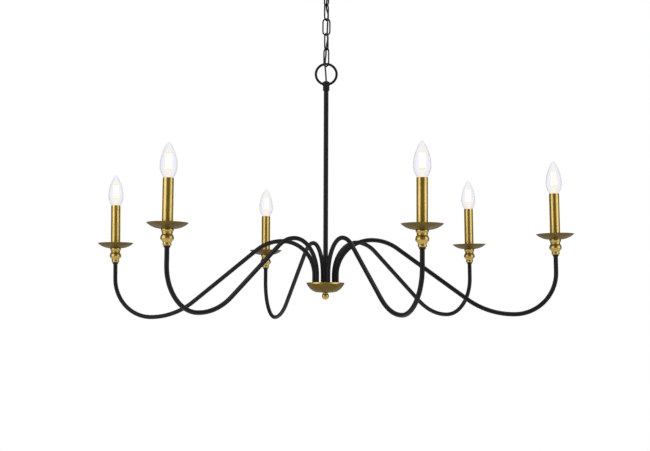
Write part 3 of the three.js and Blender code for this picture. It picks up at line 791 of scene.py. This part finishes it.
def add_filaments(number, place, body):
    """The lit insides of a filament lamp: glass stem, support wires and four filaments."""
    bm = lathe([(0, 1), *smooth_outline(LAMP_STEM)], 24)
    piece(f"lamp_stem_{number}", bm, "stem_glow", body, place=place)
    glow, tips, wires = bmesh.new(), bmesh.new(), bmesh.new()
    for turn in FILAMENT_TURNS:
        spoke = Vector((math.cos(math.radians(turn)), math.sin(math.radians(turn)), 0))
        foot = spoke * FILAMENT_CIRCLE
        add_rod(glow, foot + Vector((0, 0, 25)), foot + Vector((0, 0, 52)), FILAMENT_RADIUS, 10)
        add_rod(tips, foot + Vector((0, 0, 22)), foot + Vector((0, 0, 24.8)), FILAMENT_RADIUS, 10)
        add_rod(tips, foot + Vector((0, 0, 52.2)), foot + Vector((0, 0, 55)), FILAMENT_RADIUS, 10)
        add_rod(wires, spoke * 1.2 + Vector((0, 0, 20)), foot + Vector((0, 0, 22.6)), SUPPORT_WIRE, 8)
        add_rod(wires, spoke * 0.4 + Vector((0, 0, 56.4)), foot + Vector((0, 0, 54.6)), SUPPORT_WIRE, 8)
    add_rod(wires, Vector((0, 0, 19.5)), Vector((0, 0, 56.5)), CENTRE_WIRE, 8)
    piece(f"filaments_{number}", glow, "filament", body, place=place)
    piece(f"filament_tips_{number}", tips, "filament_end", body, place=place)
    # The support wires take the glowing finish of the filament tips: a painted glow, as the wires give no
    # light.
    piece(f"filament_wires_{number}", wires, "filament_end", body, place=place)


def add_arm(number):
    place = ArmPlace(number)
    arm, bulb = f"arm_{number}", f"bulb_{number}"
    bm = bent_bar(ARM_RADIUS, place.legs(), 0, HUB_PLATE_TOP + ARM_FOOT, 24, 3)
    piece(f"arm_tube_{number}", bm, "black", arm, [arm], place.frame)
    turned = [("arm_ferrule", FERRULE, 48, "black", arm, "arm"),
              ("candle_cup", CUP, 64, "brass", arm, "cup"),
              ("drip_pan", drip_dish_outline(), 96, "dish_brass_with_painted_shade", arm, "drip_dish"),
              ("candle_sleeve", SLEEVE, 64, "brass", arm, "sleeve")]
    for name, outline, segments, finish, body, node in turned:
        piece(f"{name}_{number}", lathe(outline, segments, closed=True), finish, body,
              [f"{node}_{number}"], place.candle)
    piece(f"holder_{number}", lathe(HOLDER, 48), "holder", arm, [f"lamp_holder_{number}"], place.candle)
    piece(f"screw_cap_{number}", lathe(screw_cap_outline(), 48), "steel", bulb, [f"lamp_cap_{number}"],
          place.candle)
    foot = place.candle @ Matrix.Translation((0, 0, BULB_FOOT * MM))
    piece(f"glass_{number}", lathe(glass_outline(), 64, closed=True), "glass", bulb,
          [f"lamp_glass_{number}"], foot)
    add_filaments(number, foot, bulb)


add_stem()
add_hub()
for arm_number in range(1, ARM_COUNT + 1):
    add_arm(arm_number)


# ---- CAD piece that keeps its shape ------------------------------------------------------------

def refinish(node, finish):
    obj = frame["nodes"][node]
    for material_slot in obj.material_slots:
        material_slot.material = FINISHES[finish]


refinish("ceiling_bracket", "steel")


# ---- Room and lights ---------------------------------------------------------------------------

FLOOR_SIZE = 4  # metres from its middle to its edge
FLOOR_Z = -2.1  # metres, with the ceiling at 0
GLOSS_SKY = 0.14  # strength of the sky in reflections
HUB = Vector((0, 0, -0.7))  # where the lights aim


def add_floor():
    bm = bmesh.new()
    bmesh.ops.create_grid(bm, x_segments=1, y_segments=1, size=FLOOR_SIZE)
    bmesh.ops.translate(bm, verts=bm.verts, vec=(0, 0, FLOOR_Z))
    mesh = bpy.data.meshes.new("floor")
    bm.to_mesh(mesh)
    bm.free()
    material, nodes, links, shader = new_material("pale_floor")
    tone = add_noise(nodes, links, 3, 4)
    colour = add_ramp(nodes, links, tone, [(0.3, (0.56, 0.56, 0.56)), (0.7, (0.6, 0.6, 0.6))])
    links.new(colour, shader.inputs["Base Color"])
    shader.inputs["Roughness"].default_value = 0.8
    mesh.materials.append(material)
    floor = bpy.data.objects.new("floor", mesh)
    bpy.context.collection.objects.link(floor)


def add_softbox(name, place, width, height, power):
    """A rectangular studio light in metres and watts, turned to the hub."""
    data = bpy.data.lights.new(name, "AREA")
    data.shape = "RECTANGLE"
    data.size, data.size_y = width, height
    data.energy = power
    light = bpy.data.objects.new(name, data)
    bpy.context.collection.objects.link(light)
    light.location = place
    light.rotation_euler = (HUB - Vector(place)).to_track_quat("-Z", "Y").to_euler()


def add_sky():
    """White all round, but dim in reflections, as in a dark-walled studio lit by softboxes."""
    world = bpy.data.worlds.new("studio")
    bpy.context.scene.world = world
    world.use_nodes = True
    nodes, links = world.node_tree.nodes, world.node_tree.links
    seen = nodes["Background"]
    seen.inputs["Color"].default_value = (1, 1, 1, 1)
    seen.inputs["Strength"].default_value = 1.0
    felt = nodes.new("ShaderNodeBackground")
    felt.inputs["Color"].default_value = (1, 1, 1, 1)
    felt.inputs["Strength"].default_value = GLOSS_SKY
    path = nodes.new("ShaderNodeLightPath")
    mix = nodes.new("ShaderNodeMixShader")
    links.new(path.outputs["Is Glossy Ray"], mix.inputs["Fac"])
    links.new(seen.outputs["Background"], mix.inputs[1])
    links.new(felt.outputs["Background"], mix.inputs[2])
    links.new(mix.outputs["Shader"], nodes["World Output"].inputs["Surface"])


add_floor()
add_sky()
add_softbox("left_softbox", (-2.3, -1.5, -0.2), 2.1, 2.2, 27)
add_softbox("right_softbox", (2.4, -1.2, -0.3), 1.9, 2.2, 23)
add_softbox("top_softbox", (0.2, -0.4, 1.6), 1.8, 1.8, 22)
add_softbox("back_softbox", (0.6, 2.4, 0.2), 1.6, 1.6, 6)

view_settings = bpy.context.scene.view_settings
view_settings.view_transform = "Standard"
